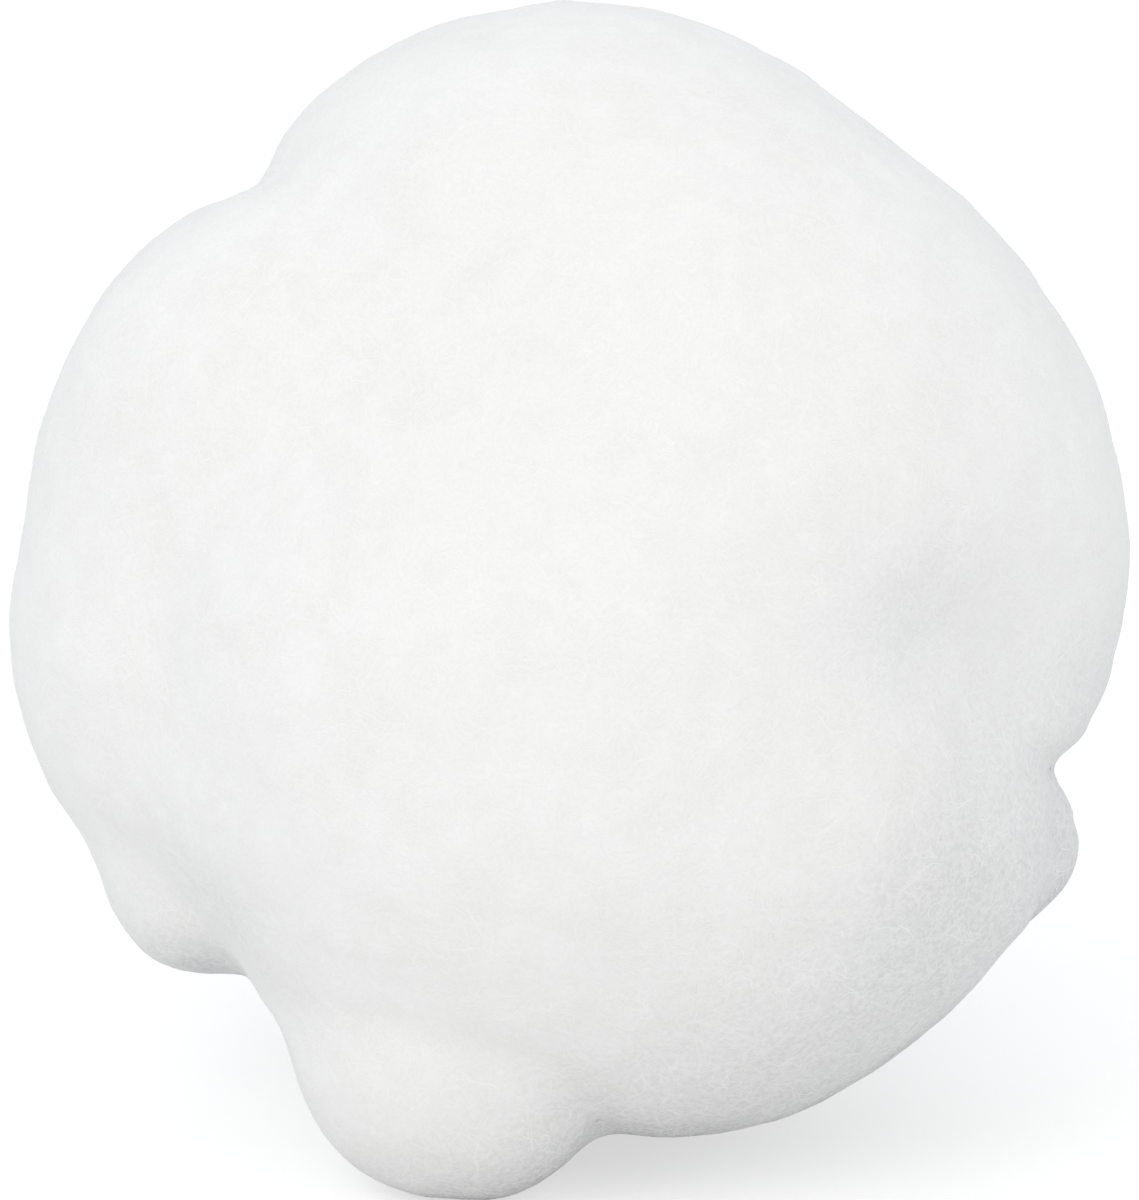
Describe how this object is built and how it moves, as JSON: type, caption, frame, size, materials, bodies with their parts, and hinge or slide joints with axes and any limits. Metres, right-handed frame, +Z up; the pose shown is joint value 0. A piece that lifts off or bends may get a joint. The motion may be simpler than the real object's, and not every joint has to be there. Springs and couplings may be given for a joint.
{
  "type": "pool filter ball",
  "caption": "Soft round ball of crimped white fibre with rounded lobes and pressed folds, used loose as filter media.",
  "frame": {"origin": "middle of the ball's footprint, on the surface that it rests on", "axes": "+Z up out of the flat spot, +X to the right of the folded face, -Y out of the folded face, which leans back 20 degrees"},
  "size_m": [0.0446, 0.044, 0.0437],
  "materials": {
    "white_fibre": "matt crimped polyester fibre, loose and fuzzy"
  },
  "bodies": {
    "root": {"fibre_ball": "white_fibre"}
  },
  "joints": []
}
